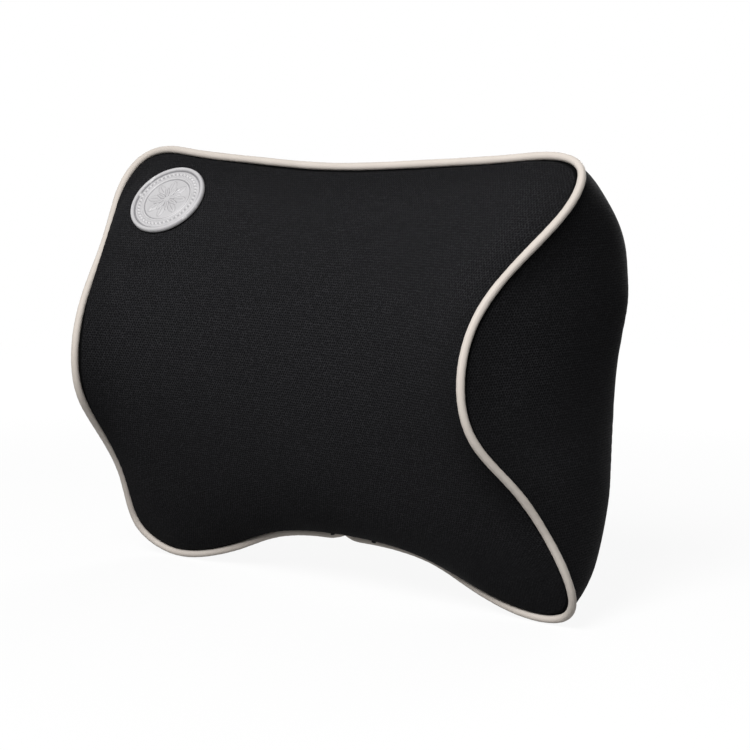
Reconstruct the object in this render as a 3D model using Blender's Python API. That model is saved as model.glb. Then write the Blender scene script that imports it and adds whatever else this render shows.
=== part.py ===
"""Contoured neck pillow for a car seat: foam core, two cover panels, piping, badge, strap.

Metres, +Z up. The back face lies in the plane y = 0, the front looks along -Y, and the
origin is the point of the back face that bears on the headrest, below the strap.
"""

import math

import bmesh
import bpy
import numpy as np
from mathutils import Vector
from mathutils.bvhtree import BVHTree

for old_object in list(bpy.data.objects):
    bpy.data.objects.remove(old_object, do_unlink=True)

# Driving dimensions of the body
SEAM_WIDTH = 0.268          # across the piped seam where it is widest
SEAM_HEIGHT = 0.191         # from the seam's lowest point to its highest
CORNER_DEPTH = 0.046        # from the back face to the seam at the corners
WING_REACH = 0.057          # how far the wings' seam stands in front of the corners
CRADLE_DEPTH = 0.023        # how far the front's middle lies behind the wings' seam
FRONT_CROWN = 0.007         # fullness of the front panel inside its seam
SIDE_BULGE = 0.002          # fullness of the side panel between the seam and the rim
RIM_RADIUS = 0.024          # rounding between the sides and the back face
CROWN_POWER = 8             # how soon the crown is reached inside the seam
FLAT_POWER = 12             # how soon the badge's flattening is, the same way
SIDE_POWER = 2.6            # 2 rounds the sides off as an ellipse, more makes them squarer

# Driving dimensions of the pieces
COVER_THICKNESS = 0.002
PIPING_DIAMETER = 0.0034
PIPING_JOIN_GAP = 0.001     # between the piping's two ends at the bottom centre
STRAP_LENGTH = 0.200
STRAP_WIDTH = 0.040
STRAP_THICKNESS = 0.0015
STRAP_HEM_LENGTH = 0.014    # the folded and sewn end
STRAP_HEM_THICKNESS = 0.0028
STRAP_EDGE_RADIUS = 0.0003
STRAP_UP = 0.122            # the strap's centre line above the seam's lowest point
STRAP_IMPRINT = 0.0006      # how deep the strap presses into the back panel
BADGE_DIAMETER = 0.0376
BADGE_INSIDE = 0.043        # the badge's centre, inside the seam's widest point
BADGE_BELOW = 0.023         # below the seam's highest point
BADGE_FORWARD = 0.020       # and in front of the seam's corners
BADGE_TILT = 42             # degrees that the badge leans back from upright
BADGE_TURN = 10             # degrees that it faces towards the middle
FLAT_REACH = 0.021          # how far from its centre the stiff badge flattens the panel
FLAT_EDGE = 0.016           # how wide the flattening runs out beyond that
LEAN_ACROSS = 0.21          # slope by which the upper corners lean in towards the middle
LEAN_UP = 0.13              # and back at the top
LEAN_WIDTH = 0.040          # how far from the badge's place the lean reaches
LEAN_POWER = 6              # how soon it is reached inside the seam, as for the crown
BADGE_FIELD_THICKNESS = 0.0014
BADGE_RIM_THICKNESS = 0.0022
BADGE_RIM_WIDTH = 0.0021
BADGE_RING_DIAMETER = 0.0248
BADGE_RING_WIDTH = 0.0012
MOUNT_UP = 0.074            # the origin above the seam's lowest point
FIT_GAP = 0.0003            # clearance between touching pieces

# How finely the surfaces are divided
SPAN_LENGTH = 0.014         # wanted length of a facet along the seam
LEAST_PER_SPAN = 2
FRONT_RINGS = 9
SIDE_RINGS = 8
BADGE_SIDES = 36

# Half of the seam, from the top centre over the corner and the wing to the bottom centre:
# across as a share of half the width, forward of the corners as a share of the wings'
# reach, up as a share of the height
SEAM_SHARES = (
    (0.00, 0.11, 0.970),
    (0.37, 0.07, 0.980),
    (0.69, 0.02, 0.994),
    (0.88, -0.03, 1.000),
    (0.976, 0.02, 0.974),
    (1.00, 0.17, 0.916),
    (0.96, 0.37, 0.843),
    (0.89, 0.67, 0.743),
    (0.86, 0.91, 0.639),
    (0.86, 1.00, 0.524),
    (0.88, 0.91, 0.419),
    (0.925, 0.60, 0.314),
    (0.955, 0.33, 0.209),
    (0.98, 0.19, 0.126),
    (0.975, 0.08, 0.056),
    (0.905, -0.02, 0.010),
    (0.77, -0.04, 0.001),
    (0.55, -0.06, 0.036),
    (0.33, -0.07, 0.089),
    (0.00, -0.05, 0.108),
)

# The widest outline of the sides, one point for each point of the seam: across and up, as
# shares of the same width and height
RIM_SHARES = (
    (0.00, 0.940),
    (0.36, 0.945),
    (0.63, 0.942),
    (0.757, 0.923),
    (0.848, 0.886),
    (0.956, 0.848),
    (1.006, 0.780),
    (1.024, 0.705),
    (1.005, 0.620),
    (0.980, 0.515),
    (0.967, 0.410),
    (0.950, 0.315),
    (0.928, 0.230),
    (0.890, 0.168),
    (0.838, 0.128),
    (0.76, 0.108),
    (0.66, 0.100),
    (0.50, 0.115),
    (0.31, 0.145),
    (0.00, 0.165),
)

HALF_WIDTH = SEAM_WIDTH / 2
PIPING_RADIUS = PIPING_DIAMETER / 2
PANEL_EDGE = PIPING_RADIUS + FIT_GAP        # where a panel stops beside the piping
CORE_INSET = COVER_THICKNESS + FIT_GAP
CENTRE_UP = SEAM_HEIGHT / 2
CENTRE_FORWARD = CORNER_DEPTH + WING_REACH - CRADLE_DEPTH
FRONT = np.array((0.0, -1.0, 0.0))


def material(name, colour, roughness):
    """A plain surface of one colour."""
    made = bpy.data.materials.new(name)
    made.use_nodes = True
    shader = made.node_tree.nodes["Principled BSDF"]
    shader.inputs["Base Color"].default_value = (*colour, 1.0)
    shader.inputs["Roughness"].default_value = roughness
    shader.inputs["Metallic"].default_value = 0.0
    return made


def closed_spline(points, counts):
    """Points on the smooth closed curve through points, counts[i] of them on span i.

    The first three columns set the spacing of the curve's parameter, and every further
    column is carried along with them.
    """
    total = len(points)
    after = np.roll(points, -1, axis=0)
    step = np.linalg.norm((after - points)[:, :3], axis=1) ** 0.5
    slope = (after - points) / step[:, None]
    system = np.zeros((total, total))
    for i in range(total):
        system[i, i - 1] = step[i - 1]
        system[i, i] = 2 * (step[i - 1] + step[i])
        system[i, (i + 1) % total] = step[i]
    bend = np.linalg.solve(system, 6 * (slope - np.roll(slope, 1, axis=0)))
    samples = []
    for i in range(total):
        bend_after = bend[(i + 1) % total]
        start_slope = slope[i] - step[i] * (2 * bend[i] + bend_after) / 6
        for k in range(counts[i]):
            u = step[i] * k / counts[i]
            cubic = (bend_after - bend[i]) / (6 * step[i])
            samples.append(points[i] + u * start_slope + u * u * bend[i] / 2 + u ** 3 * cubic)
    return np.array(samples)


def unit(vectors):
    return vectors / np.linalg.norm(vectors, axis=-1, keepdims=True)


def along(ring):
    """Unit tangents of a ring."""
    return unit(np.roll(ring, -1, axis=0) - np.roll(ring, 1, axis=0))


def seam_and_rim():
    """The seam's points in space, and the rim's paired points across and up."""
    half = []
    for (across, forward, up), (rim_across, rim_up) in zip(SEAM_SHARES, RIM_SHARES):
        half.append((
            across * HALF_WIDTH,
            -CORNER_DEPTH - forward * WING_REACH,
            up * SEAM_HEIGHT,
            rim_across * HALF_WIDTH,
            rim_up * SEAM_HEIGHT,
        ))
    half = np.array(half)
    other_half = (half * (-1, 1, 1, -1, 1))[-2:0:-1]
    loop = np.vstack((half, other_half))
    spans = np.linalg.norm((np.roll(loop, -1, axis=0) - loop)[:, :3], axis=1)
    counts = [max(LEAST_PER_SPAN, round(span / SPAN_LENGTH)) for span in spans]
    samples = closed_spline(loop, counts)
    bottom_centre = sum(counts[:len(half) - 1])
    samples = np.roll(samples, -bottom_centre, axis=0)
    return samples[:, :3], samples[:, 3:]


def front_ring(seam, share):
    """The front panel's ring at a share of the way from its middle to the seam.

    The ring is the seam with its waves dying out towards the middle, the short ones first,
    as in a skin stretched on the seam. The saddle's fullness and the crown are added to it.
    """
    waves = np.fft.rfft(seam, axis=0)
    fading = share ** np.arange(len(waves))
    ring = np.fft.irfft(waves * fading[:, None], n=len(seam), axis=0)
    fullness = CENTRE_FORWARD + seam[:, 1].mean()
    ring[:, 1] -= fullness * (1 - share ** 2) + FRONT_CROWN * (1 - share ** CROWN_POWER)
    return ring


def badge_place():
    """The point of the front panel under the badge's centre, and the badge's axes.

    The axes point along the badge to the middle, up along it, and out of its face.
    """
    across = BADGE_INSIDE - HALF_WIDTH
    up = SEAM_HEIGHT - BADGE_BELOW
    centre = np.array((across, -CORNER_DEPTH - BADGE_FORWARD, up))
    tilt = math.radians(BADGE_TILT)
    turn = math.radians(BADGE_TURN)
    level = math.cos(tilt)
    facing = np.array((level * math.sin(turn), -level * math.cos(turn), math.sin(tilt)))
    side = unit(np.cross((0.0, 0.0, 1.0), facing))
    return centre, side, np.cross(facing, side), facing


def leant(ring, share):
    """A ring of the front with both upper corners leaning in towards the middle."""
    centre, side, upward, facing = badge_place()
    leaning = ring.copy()
    for mirror in ((1, 1, 1), (-1, 1, 1)):
        offset = ring * mirror - centre
        lean = LEAN_ACROSS * (offset @ side) + LEAN_UP * (offset @ upward)
        lean *= np.exp(-(offset ** 2).sum(axis=1) / (2 * LEAN_WIDTH ** 2))
        leaning[:, 1] -= lean / facing[1] * (1 - share ** LEAN_POWER)
    return leaning


def pressed_flat(ring, share):
    """A ring of the front with the panel flattened round the stiff badge."""
    centre, _, _, facing = badge_place()
    offset = ring - centre
    distance = np.linalg.norm(offset, axis=1)
    near = (FLAT_REACH + FLAT_EDGE - distance) / FLAT_EDGE
    near = np.clip(near, 0.0, 1.0)
    near = near * near * (3 - 2 * near) * (1 - share ** FLAT_POWER)
    flattened = ring.copy()
    flattened[:, 1] -= (offset @ facing) / facing[1] * near
    return flattened


class Body:
    """The pillow's outer surface, as rings from the front's middle to the back face.

    Ring number seam_number is the seam. The poles close the surface in the middle of the
    front and of the back.
    """

    def __init__(self):
        self.seam, rim = seam_and_rim()
        self.front_pole = leant(front_ring(self.seam, 0.0), 0.0)[0]
        self.rings = []
        for i in range(1, FRONT_RINGS + 1):
            share = i / FRONT_RINGS
            self.rings.append(pressed_flat(leant(front_ring(self.seam, share), share), share))
        self.seam_number = len(self.rings) - 1
        rim = np.stack((rim[:, 0], np.zeros(len(rim)), rim[:, 1]), axis=1)
        self.back_pole = np.array((0.0, 0.0, CENTRE_UP))
        outward = (rim - self.back_pole) * RIM_RADIUS / np.array((HALF_WIDTH, 1.0, CENTRE_UP))
        for i in range(1, SIDE_RINGS + 1):
            angle = math.pi / 2 * i / SIDE_RINGS
            backward = math.sin(angle) ** (2 / SIDE_POWER)
            inward = 1 - math.cos(angle) ** (2 / SIDE_POWER)
            bulge = SIDE_BULGE * math.sin(math.pi * backward)
            straight = self.seam + (rim - self.seam) * backward
            self.rings.append(straight - outward * inward + unit(outward) * bulge)

    def strip_normals(self, ring_a, ring_b, at_ring):
        """Outward normals, at one of the two rings, of the strip between them."""
        normals = unit(np.cross(along(at_ring), ring_b - ring_a))
        inside = np.array((0.0, -CORNER_DEPTH, CENTRE_UP))
        if (normals * (at_ring - inside)).sum() < 0:
            return -normals
        return normals

    def inward_step(self, number, inset):
        """How far each point of a ring moves to lie inset from both strips beside it."""
        ring = self.rings[number]
        first = number == 0
        last = number == len(self.rings) - 1
        ahead = self.front_pole[None, :] if first else self.rings[number - 1]
        behind = self.back_pole[None, :] if last else self.rings[number + 1]
        before = self.strip_normals(ahead, ring, ring)
        after = self.strip_normals(ring, behind, ring)
        middle = unit(before + after)
        return -middle * inset / (middle * before).sum(axis=1, keepdims=True)

    def outer(self, numbers):
        return [(number, self.rings[number]) for number in numbers]

    def moved_in(self, numbers, inset):
        rings = []
        for number in numbers:
            rings.append((number, self.rings[number] + self.inward_step(number, inset)))
        return rings

    def panel_edge(self, neighbour):
        """A panel's edge beside the piping, on its outer and on its inner surface."""
        strip = self.rings[neighbour] - self.seam
        square = np.linalg.norm(np.cross(strip, along(self.seam)), axis=1, keepdims=True)
        share = PANEL_EDGE / square
        inner = self.moved_in((self.seam_number, neighbour), COVER_THICKNESS)
        inner_seam, inner_ring = inner[0][1], inner[1][1]
        edge = self.seam + strip * share
        inner_edge = inner_seam + (inner_ring - inner_seam) * share
        return [(self.seam_number, edge), (self.seam_number, inner_edge)]


def ring_solid(name, first_pole, rings, last_pole):
    """A closed mesh of numbered rings between two poles.

    Each entry of rings is (number, points). A strip's diagonals always run from the lower
    number to the higher one, so that surfaces beside each other are cut alike.
    """
    count = len(rings[0][1])
    points = [tuple(first_pole)]
    for _, ring in rings:
        points.extend(tuple(point) for point in ring)
    points.append(tuple(last_pole))
    faces = []
    last = len(points) - 1
    last_start = 1 + (len(rings) - 1) * count
    for j in range(count):
        k = (j + 1) % count
        faces.append((0, 1 + j, 1 + k))
        faces.append((last, last_start + k, last_start + j))
    for i in range(len(rings) - 1):
        a = 1 + i * count
        b = a + count
        rising = rings[i + 1][0] >= rings[i][0]
        for j in range(count):
            k = (j + 1) % count
            if rising:
                faces.append((a + j, b + j, b + k))
                faces.append((a + j, b + k, a + k))
            else:
                faces.append((b + j, b + k, a + k))
                faces.append((b + j, a + k, a + j))
    return mesh_object(name, points, faces)


def mesh_object(name, points, faces):
    """A named object with its faces pointing out, shaded smooth."""
    mesh = bpy.data.meshes.new(name)
    mesh.from_pydata(points, [], faces)
    work = bmesh.new()
    work.from_mesh(mesh)
    bmesh.ops.recalc_face_normals(work, faces=work.faces[:])
    work.to_mesh(mesh)
    work.free()
    mesh.shade_smooth()
    mesh.set_sharp_from_angle(angle=math.radians(40))
    made = bpy.data.objects.new(name, mesh)
    bpy.context.scene.collection.objects.link(made)
    return made


def foam_core(body):
    """The foam block, one cover thickness and a clearance inside the outer surface."""
    rings = body.moved_in(range(len(body.rings)), CORE_INSET)
    front = body.front_pole - FRONT * CORE_INSET
    back = body.back_pole + FRONT * CORE_INSET
    return ring_solid("foam_core", front, rings, back)


def cover_front(body):
    """The front panel: outer surface, edge beside the piping, inner surface."""
    numbers = range(body.seam_number)
    inner = body.moved_in(numbers, COVER_THICKNESS)
    rings = body.outer(numbers) + body.panel_edge(body.seam_number - 1) + inner[::-1]
    inner_pole = body.front_pole - FRONT * COVER_THICKNESS
    return ring_solid("cover_front", body.front_pole, rings, inner_pole)


def cover_back(body):
    """The side and back panel, open at the front."""
    numbers = range(body.seam_number + 1, len(body.rings))
    inner = body.moved_in(numbers, COVER_THICKNESS)
    rings = body.outer(numbers)[::-1] + body.panel_edge(body.seam_number + 1) + inner
    inner_pole = body.back_pole + FRONT * COVER_THICKNESS
    return ring_solid("cover_back", body.back_pole, rings, inner_pole)


def piping(seam):
    """The covered cord along the seam, open at the bottom centre where its ends meet."""
    path = np.vstack((seam, seam[:1]))
    first_step = unit(path[1] - path[0])
    last_step = unit(path[-2] - path[-1])
    path[0] += first_step * PIPING_JOIN_GAP / 2
    path[-1] += last_step * PIPING_JOIN_GAP / 2
    curve = bpy.data.curves.new("piping", "CURVE")
    curve.dimensions = "3D"
    curve.bevel_depth = PIPING_RADIUS
    curve.bevel_resolution = 2
    curve.use_fill_caps = True
    spline = curve.splines.new("POLY")
    spline.points.add(len(path) - 1)
    for spline_point, point in zip(spline.points, path):
        spline_point.co = (*point, 1.0)
    made = bpy.data.objects.new("piping", curve)
    bpy.context.scene.collection.objects.link(made)
    return made


def block(name, size, centre):
    """A closed box."""
    half = np.array(size) / 2
    corners = []
    for x in (-1, 1):
        for y in (-1, 1):
            for z in (-1, 1):
                corners.append(tuple(np.array(centre) + half * (x, y, z)))
    faces = ((0, 1, 3, 2), (4, 6, 7, 5), (0, 4, 5, 1), (2, 3, 7, 6), (0, 2, 6, 4), (1, 5, 7, 3))
    return mesh_object(name, corners, faces)


def press_strap_into(panel):
    """Cut the strap's shallow imprint into the back panel."""
    cutter = block(
        "strap_imprint_cutter",
        (STRAP_LENGTH + 2 * FIT_GAP, 2 * STRAP_IMPRINT, STRAP_WIDTH + 2 * FIT_GAP),
        (0.0, 0.0, STRAP_UP),
    )
    cutter.hide_render = True
    cutter.display_type = "WIRE"
    cut = panel.modifiers.new("strap imprint", "BOOLEAN")
    cut.operation = "DIFFERENCE"
    cut.solver = "EXACT"
    cut.object = cutter
    return cutter


def strap():
    """The flat elastic strap in its imprint, with a thicker folded hem at each end."""
    under = -STRAP_IMPRINT + FIT_GAP
    half = STRAP_LENGTH / 2
    hem = half - STRAP_HEM_LENGTH
    slope = STRAP_HEM_THICKNESS - STRAP_THICKNESS
    profile = (
        (-half, under),
        (half, under),
        (half, under + STRAP_HEM_THICKNESS),
        (hem, under + STRAP_HEM_THICKNESS),
        (hem - slope, under + STRAP_THICKNESS),
        (-hem + slope, under + STRAP_THICKNESS),
        (-hem, under + STRAP_HEM_THICKNESS),
        (-half, under + STRAP_HEM_THICKNESS),
    )
    count = len(profile)
    low = STRAP_UP - STRAP_WIDTH / 2
    high = STRAP_UP + STRAP_WIDTH / 2
    points = [(x, y, low) for x, y in profile] + [(x, y, high) for x, y in profile]
    faces = [tuple(range(count)), tuple(range(2 * count - 1, count - 1, -1))]
    for i in range(count):
        k = (i + 1) % count
        faces.append((i, k, count + k, count + i))
    made = mesh_object("strap", points, faces)
    bevel = made.modifiers.new("soft edges", "BEVEL")
    bevel.width = STRAP_EDGE_RADIUS
    bevel.segments = 1
    bevel.limit_method = "ANGLE"
    bevel.angle_limit = math.radians(60)
    return made


def badge_heights():
    """The badge's section from its middle out: radius and thickness."""
    outer = BADGE_DIAMETER / 2
    rim = outer - BADGE_RIM_WIDTH
    ring_out = BADGE_RING_DIAMETER / 2
    ring_in = ring_out - BADGE_RING_WIDTH
    slope = (BADGE_RIM_THICKNESS - BADGE_FIELD_THICKNESS) / 2
    ring_top = BADGE_FIELD_THICKNESS + slope
    field = BADGE_FIELD_THICKNESS
    return (
        (ring_in / 2, field),
        (ring_in - slope, field),
        (ring_in, ring_top),
        (ring_out, ring_top),
        (ring_out + slope, field),
        (rim - slope, field),
        (rim, BADGE_RIM_THICKNESS),
        (outer - slope, BADGE_RIM_THICKNESS),
        (outer, field),
    )


def front_surface(body):
    """The front panel's outer facets, to find points on them."""
    count = len(body.seam)
    points = [Vector(body.front_pole)]
    for ring in body.rings[:body.seam_number + 1]:
        points.extend(Vector(point) for point in ring)
    triangles = [(0, 1 + j, 1 + (j + 1) % count) for j in range(count)]
    for i in range(body.seam_number):
        a = 1 + i * count
        for j in range(count):
            k = (j + 1) % count
            triangles.append((a + j, a + count + j, a + count + k))
            triangles.append((a + j, a + count + k, a + k))
    return BVHTree.FromPolygons(points, triangles)


def badge(body):
    """The round flat badge, resting on the part of the front panel that it flattens."""
    centre, side, upward, facing = badge_place()

    def circle(radius, lift):
        ring = []
        for k in range(BADGE_SIDES):
            angle = 2 * math.pi * k / BADGE_SIDES
            spoke = side * math.cos(angle) + upward * math.sin(angle)
            ring.append(centre + spoke * radius + facing * lift)
        return np.array(ring)

    panel = front_surface(body)
    sections = badge_heights()
    highest = 0.0
    for radius, _ in sections:
        for start in circle(radius, BADGE_DIAMETER):
            below = panel.ray_cast(Vector(start), Vector(-facing))[0]
            highest = max(highest, (np.array(below) - centre) @ facing)
    under = highest + FIT_GAP
    rings = [(n, circle(radius, under + high)) for n, (radius, high) in enumerate(sections)]
    rings.append((len(rings), circle(BADGE_DIAMETER / 2, under)))
    top_pole = centre + facing * (under + BADGE_FIELD_THICKNESS)
    return ring_solid("badge", top_pole, rings, centre + facing * under)


def build():
    frame = bpy.data.objects.new("pillow_frame", None)
    frame.location = (0.0, 0.0, -MOUNT_UP)
    bpy.context.scene.collection.objects.link(frame)

    body = Body()
    knit = material("black_knit", (0.013, 0.013, 0.015), 0.85)
    lining = material("foam", (0.72, 0.68, 0.58), 0.9)
    trim = material("grey_beige_piping", (0.55, 0.50, 0.45), 0.7)
    webbing = material("black_elastic", (0.012, 0.012, 0.013), 0.8)
    moulding = material("light_grey_badge", (0.58, 0.57, 0.58), 0.45)

    core = foam_core(body)
    core.data.materials.append(lining)
    front_panel = cover_front(body)
    front_panel.data.materials.append(knit)
    back_panel = cover_back(body)
    back_panel.data.materials.append(knit)
    cord = piping(body.seam)
    cord.data.materials.append(trim)
    band = strap()
    band.data.materials.append(webbing)
    emblem = badge(body)
    emblem.data.materials.append(moulding)
    cutter = press_strap_into(back_panel)
    for piece in (core, front_panel, back_panel, cord, band, emblem, cutter):
        piece.parent = frame


build()
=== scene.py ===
"""Looks of the contoured neck pillow: knitted cover, woven piping, moulded badge, strap."""

import math

import bmesh
import bpy
import numpy as np
from mathutils import Matrix, Vector, noise
from mathutils.bvhtree import BVHTree


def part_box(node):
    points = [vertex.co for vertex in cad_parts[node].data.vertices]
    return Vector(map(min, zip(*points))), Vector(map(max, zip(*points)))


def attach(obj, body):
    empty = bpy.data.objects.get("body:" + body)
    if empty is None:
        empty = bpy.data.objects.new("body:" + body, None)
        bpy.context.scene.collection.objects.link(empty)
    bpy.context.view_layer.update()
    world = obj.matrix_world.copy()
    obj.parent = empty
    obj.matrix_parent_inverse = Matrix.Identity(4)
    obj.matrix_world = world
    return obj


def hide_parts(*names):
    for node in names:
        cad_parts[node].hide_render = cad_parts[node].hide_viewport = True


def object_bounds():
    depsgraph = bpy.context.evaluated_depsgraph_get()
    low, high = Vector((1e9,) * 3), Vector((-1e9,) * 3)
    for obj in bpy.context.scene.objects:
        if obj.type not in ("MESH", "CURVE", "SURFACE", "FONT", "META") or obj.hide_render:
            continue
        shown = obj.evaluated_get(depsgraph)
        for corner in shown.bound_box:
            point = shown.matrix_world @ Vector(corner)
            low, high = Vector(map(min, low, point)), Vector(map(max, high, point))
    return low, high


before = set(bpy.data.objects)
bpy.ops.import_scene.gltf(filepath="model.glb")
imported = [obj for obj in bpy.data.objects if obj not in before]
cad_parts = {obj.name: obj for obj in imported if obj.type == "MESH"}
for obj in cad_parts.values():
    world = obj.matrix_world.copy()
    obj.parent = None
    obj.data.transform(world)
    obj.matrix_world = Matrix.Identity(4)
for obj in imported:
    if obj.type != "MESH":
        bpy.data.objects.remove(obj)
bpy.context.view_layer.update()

# The shape's sizes, as the solids have them
SEAM_WIDTH = 0.268
SEAM_HEIGHT = 0.191
CORNER_DEPTH = 0.046
WING_REACH = 0.057
CRADLE_DEPTH = 0.023
FRONT_CROWN = 0.007
SIDE_BULGE = 0.002
RIM_RADIUS = 0.024
CROWN_POWER = 8
FLAT_POWER = 12
SIDE_POWER = 2.6
PIPING_RADIUS = 0.0017
STRAP_LENGTH = 0.200
STRAP_WIDTH = 0.040
STRAP_THICKNESS = 0.0015
STRAP_HEM_LENGTH = 0.014
STRAP_HEM_THICKNESS = 0.0028
STRAP_UP = 0.122
BADGE_RADIUS = 0.0188
BADGE_INSIDE = 0.043
BADGE_BELOW = 0.023
BADGE_FORWARD = 0.020
BADGE_TILT = 42
BADGE_TURN = 10
FLAT_REACH = 0.021
FLAT_EDGE = 0.016
LEAN_ACROSS = 0.21
LEAN_UP = 0.13
LEAN_WIDTH = 0.040
LEAN_POWER = 6
MOUNT_UP = 0.074
HALF_WIDTH = SEAM_WIDTH / 2
CENTRE_UP = SEAM_HEIGHT / 2
CENTRE_FORWARD = CORNER_DEPTH + WING_REACH - CRADLE_DEPTH

# Half of the seam from top centre to bottom centre: across, forward, up, as shares
SEAM_SHARES = (
    (0.00, 0.11, 0.970),
    (0.37, 0.07, 0.980),
    (0.69, 0.02, 0.994),
    (0.88, -0.03, 1.000),
    (0.976, 0.02, 0.974),
    (1.00, 0.17, 0.916),
    (0.96, 0.37, 0.843),
    (0.89, 0.67, 0.743),
    (0.86, 0.91, 0.639),
    (0.86, 1.00, 0.524),
    (0.88, 0.91, 0.419),
    (0.925, 0.60, 0.314),
    (0.955, 0.33, 0.209),
    (0.98, 0.19, 0.126),
    (0.975, 0.08, 0.056),
    (0.905, -0.02, 0.010),
    (0.77, -0.04, 0.001),
    (0.55, -0.06, 0.036),
    (0.33, -0.07, 0.089),
    (0.00, -0.05, 0.108),
)

# The widest outline of the sides, paired with the seam: across and up, as shares
RIM_SHARES = (
    (0.00, 0.940),
    (0.36, 0.945),
    (0.63, 0.942),
    (0.757, 0.923),
    (0.848, 0.886),
    (0.956, 0.848),
    (1.006, 0.780),
    (1.024, 0.705),
    (1.005, 0.620),
    (0.980, 0.515),
    (0.967, 0.410),
    (0.950, 0.315),
    (0.928, 0.230),
    (0.890, 0.168),
    (0.838, 0.128),
    (0.76, 0.108),
    (0.66, 0.100),
    (0.50, 0.115),
    (0.31, 0.145),
    (0.00, 0.165),
)

# How finely the looks are made
SEAM_STEP = 0.0023
FRONT_ROWS = 52
BACK_ROWS = 56
DENSE = 260
BACK_RINGS = 40             # rings across the flat back face
BACK_CROWDING = 1.6         # how much closer the side's rings lie near the seam
EDGE_START = 0.006          # where a panel begins to turn in towards the piping
PANEL_THICKNESS = 0.0014

# How the fabric settles over the foam
SETTLE_VOXEL = 0.005
SETTLE_FRAMES = 20
SETTLE_PRESSURE = 4.0
SETTLE_CAP = 0.0022         # the furthest that a point may move
HELD_AT_SEAM = 0.004        # the fabric is held this close to the seam
HELD_FADE = 0.010           # and let go over this distance
HELD_AT_BACK = 0.004        # it is held this close to the flat back face
HELD_AT_BADGE = 0.004       # and this far round the badge
SETTLED_FROM = 0.005        # the fine panels take the settling from here inward

# The panels' relief: stitches, the pull of the seam, and a hand's unevenness
STITCH_PITCH = 0.0042
PUCKER = 0.00007
PUCKER_AT, PUCKER_WIDTH = 0.0045, 0.0022
PULL = 0.00022
PULL_AT, PULL_WIDTH = 0.007, 0.006
UNEVEN_BROAD, UNEVEN_FINE = 0.00035, 0.00012


def smooth(x):
    x = np.clip(x, 0.0, 1.0)
    return x * x * (3 - 2 * x)


def unit(vectors):
    return vectors / np.linalg.norm(vectors, axis=-1, keepdims=True)


def along(ring):
    return unit(np.roll(ring, -1, axis=0) - np.roll(ring, 1, axis=0))


def lengths(points):
    """The length of a line of points from its start to each of them."""
    return np.concatenate(([0.0], np.cumsum(np.linalg.norm(np.diff(points, axis=0), axis=1))))


# The seam, the front and the sides as smooth surfaces

def closed_spline(points, counts):
    """Points on the smooth closed curve through points, counts[i] of them on span i."""
    total = len(points)
    after = np.roll(points, -1, axis=0)
    step = np.linalg.norm((after - points)[:, :3], axis=1) ** 0.5
    slope = (after - points) / step[:, None]
    system = np.zeros((total, total))
    for i in range(total):
        system[i, i - 1] = step[i - 1]
        system[i, i] = 2 * (step[i - 1] + step[i])
        system[i, (i + 1) % total] = step[i]
    bend = np.linalg.solve(system, 6 * (slope - np.roll(slope, 1, axis=0)))
    samples = []
    for i in range(total):
        bend_after = bend[(i + 1) % total]
        start_slope = slope[i] - step[i] * (2 * bend[i] + bend_after) / 6
        for k in range(counts[i]):
            u = step[i] * k / counts[i]
            cubic = (bend_after - bend[i]) / (6 * step[i])
            samples.append(points[i] + u * start_slope + u * u * bend[i] / 2 + u ** 3 * cubic)
    return np.array(samples)


def seam_and_rim():
    """The seam's points in space, and the rim's paired points, from the bottom centre on."""
    half = []
    for (across, forward, up), (rim_across, rim_up) in zip(SEAM_SHARES, RIM_SHARES):
        half.append((
            across * HALF_WIDTH,
            -CORNER_DEPTH - forward * WING_REACH,
            up * SEAM_HEIGHT,
            rim_across * HALF_WIDTH,
            rim_up * SEAM_HEIGHT,
        ))
    half = np.array(half)
    loop = np.vstack((half, (half * (-1, 1, 1, -1, 1))[-2:0:-1]))
    spans = np.linalg.norm((np.roll(loop, -1, axis=0) - loop)[:, :3], axis=1)
    counts = [max(2, round(span / SEAM_STEP)) for span in spans]
    samples = closed_spline(loop, counts)
    samples = np.roll(samples, -sum(counts[:len(half) - 1]), axis=0)
    rim = np.stack((samples[:, 3], np.zeros(len(samples)), samples[:, 4]), axis=1)
    return samples[:, :3], rim


def badge_place():
    """The point of the front panel under the badge's centre, and the badge's axes."""
    across = BADGE_INSIDE - HALF_WIDTH
    centre = np.array((across, -CORNER_DEPTH - BADGE_FORWARD, SEAM_HEIGHT - BADGE_BELOW))
    tilt = math.radians(BADGE_TILT)
    turn = math.radians(BADGE_TURN)
    level = math.cos(tilt)
    facing = np.array((level * math.sin(turn), -level * math.cos(turn), math.sin(tilt)))
    side = unit(np.cross((0.0, 0.0, 1.0), facing))
    return centre, side, np.cross(facing, side), facing


def front_ring(waves, seam, share):
    """The front's ring at a share of the way from its middle to the seam."""
    fading = share ** np.arange(len(waves))
    ring = np.fft.irfft(waves * fading[:, None], n=len(seam), axis=0)
    fullness = CENTRE_FORWARD + seam[:, 1].mean()
    ring[:, 1] -= fullness * (1 - share ** 2) + FRONT_CROWN * (1 - share ** CROWN_POWER)
    centre, side, upward, facing = badge_place()
    lean = np.zeros(len(ring))
    for mirror in ((1, 1, 1), (-1, 1, 1)):
        offset = ring * mirror - centre
        slope = LEAN_ACROSS * (offset @ side) + LEAN_UP * (offset @ upward)
        lean += slope * np.exp(-(offset ** 2).sum(axis=1) / (2 * LEAN_WIDTH ** 2))
    ring[:, 1] -= lean / facing[1] * (1 - share ** LEAN_POWER)
    offset = ring - centre
    distance = np.linalg.norm(offset, axis=1)
    near = smooth((FLAT_REACH + FLAT_EDGE - distance) / FLAT_EDGE) * (1 - share ** FLAT_POWER)
    ring[:, 1] -= (offset @ facing) / facing[1] * near
    return ring


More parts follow.
